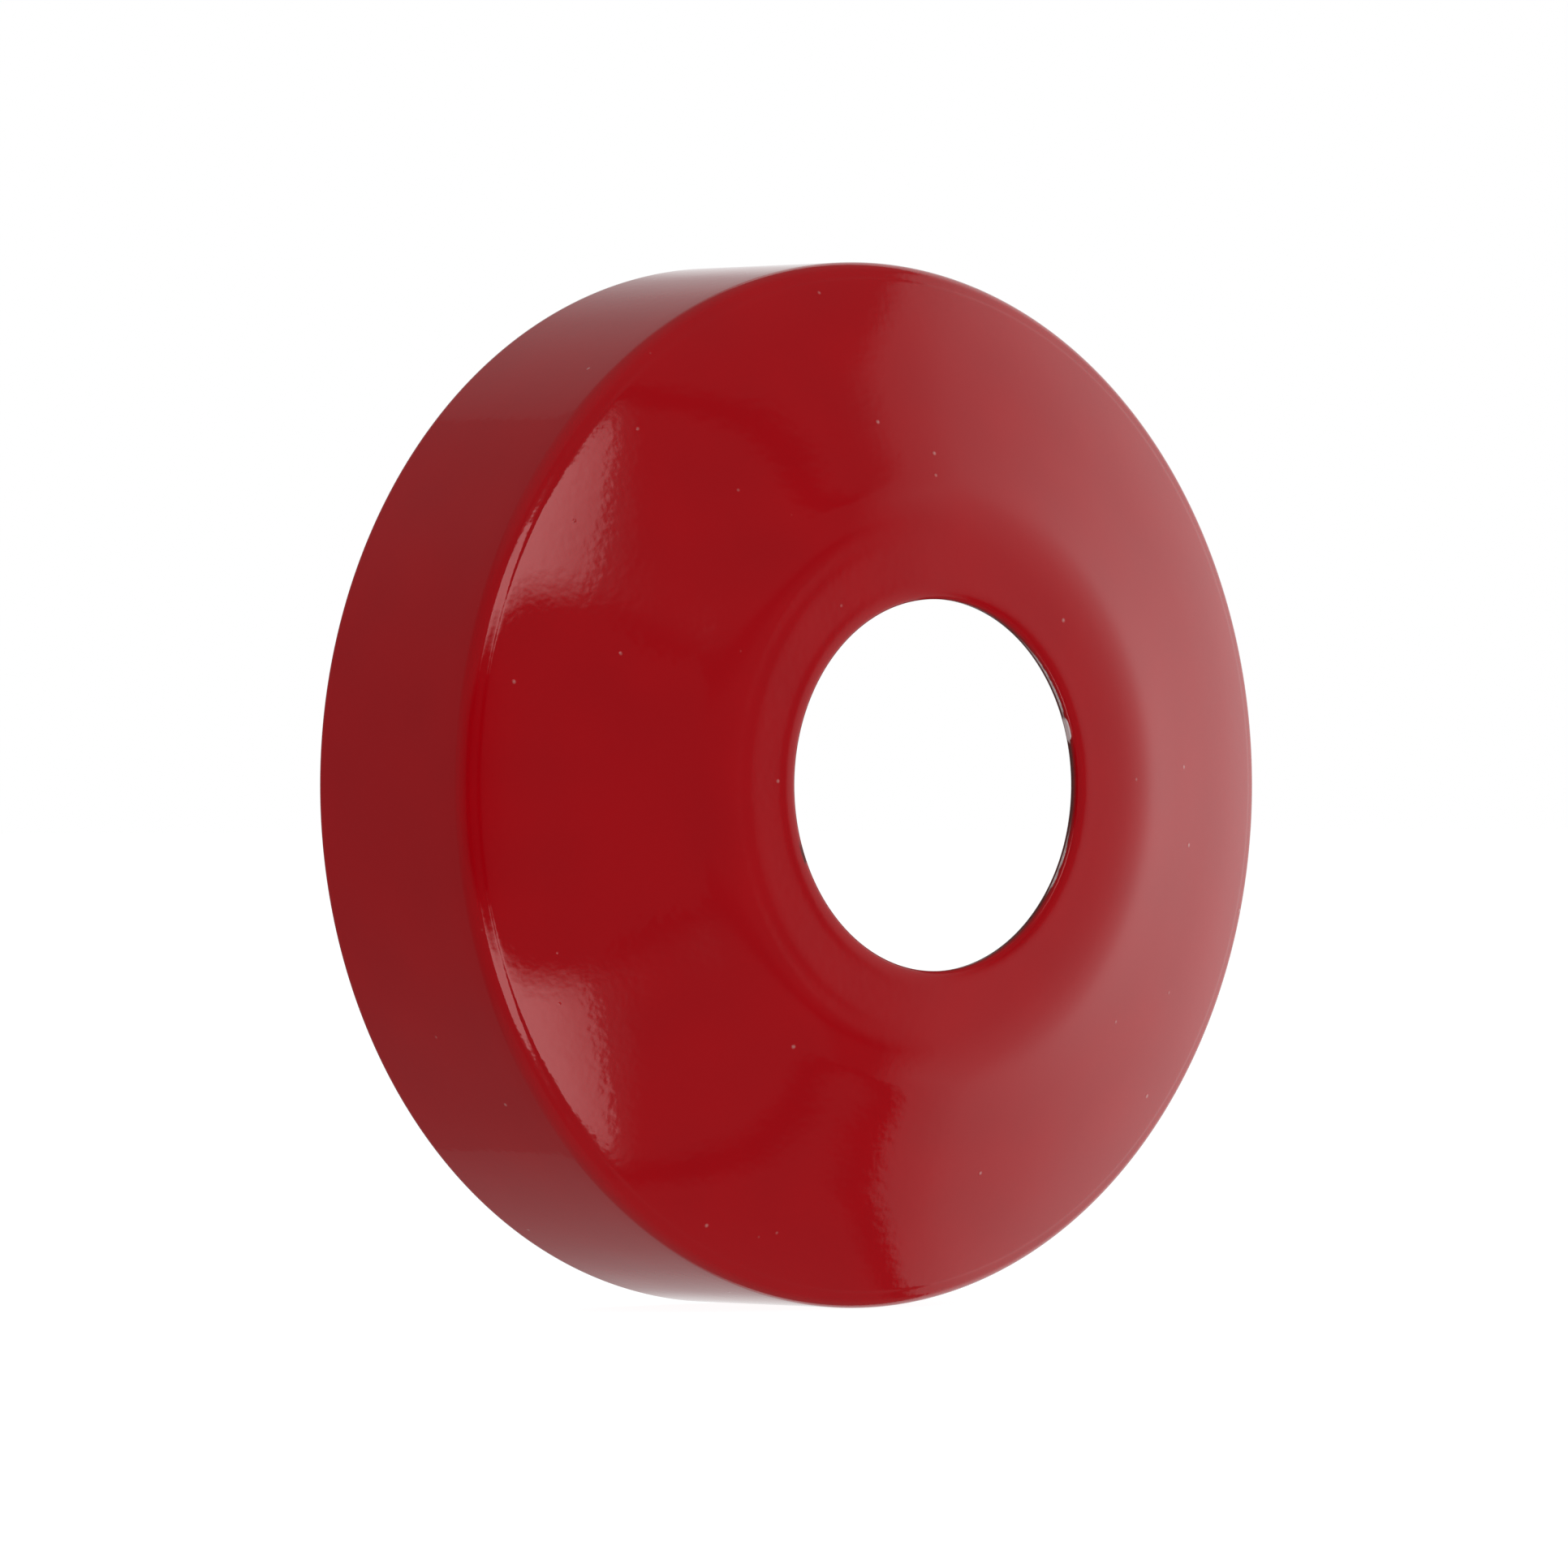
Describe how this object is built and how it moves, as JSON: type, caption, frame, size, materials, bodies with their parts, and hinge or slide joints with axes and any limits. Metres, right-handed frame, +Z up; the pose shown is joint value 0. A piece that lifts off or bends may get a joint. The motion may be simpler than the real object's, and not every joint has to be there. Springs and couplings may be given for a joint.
{
  "type": "wall escutcheon",
  "caption": "Round deep-drawn sheet-steel wall escutcheon in gloss red lacquer, with a straight skirt, a shallow cone and a central hole; it hides the gap round a pipe that leaves a wall.",
  "frame": {"origin": "centre of the skirt's rim, on the hole's axis and in the plane of the wall", "axes": "+Y along the hole's axis into the wall, -Y out of the wall the way the crown faces, +Z up, +X to the right for someone who looks at the crown"},
  "size_m": [0.06, 0.0189, 0.06],
  "materials": {
    "bare_steel": "bare drawn steel sheet, bright at the punched edge of the hole, satin inside the cup",
    "red_lacquer": "high-gloss signal-red lacquer with a faint orange peel"
  },
  "bodies": {
    "root": {"pressed_shell": "bare_steel", "lacquer_coat": "red_lacquer"}
  },
  "joints": []
}
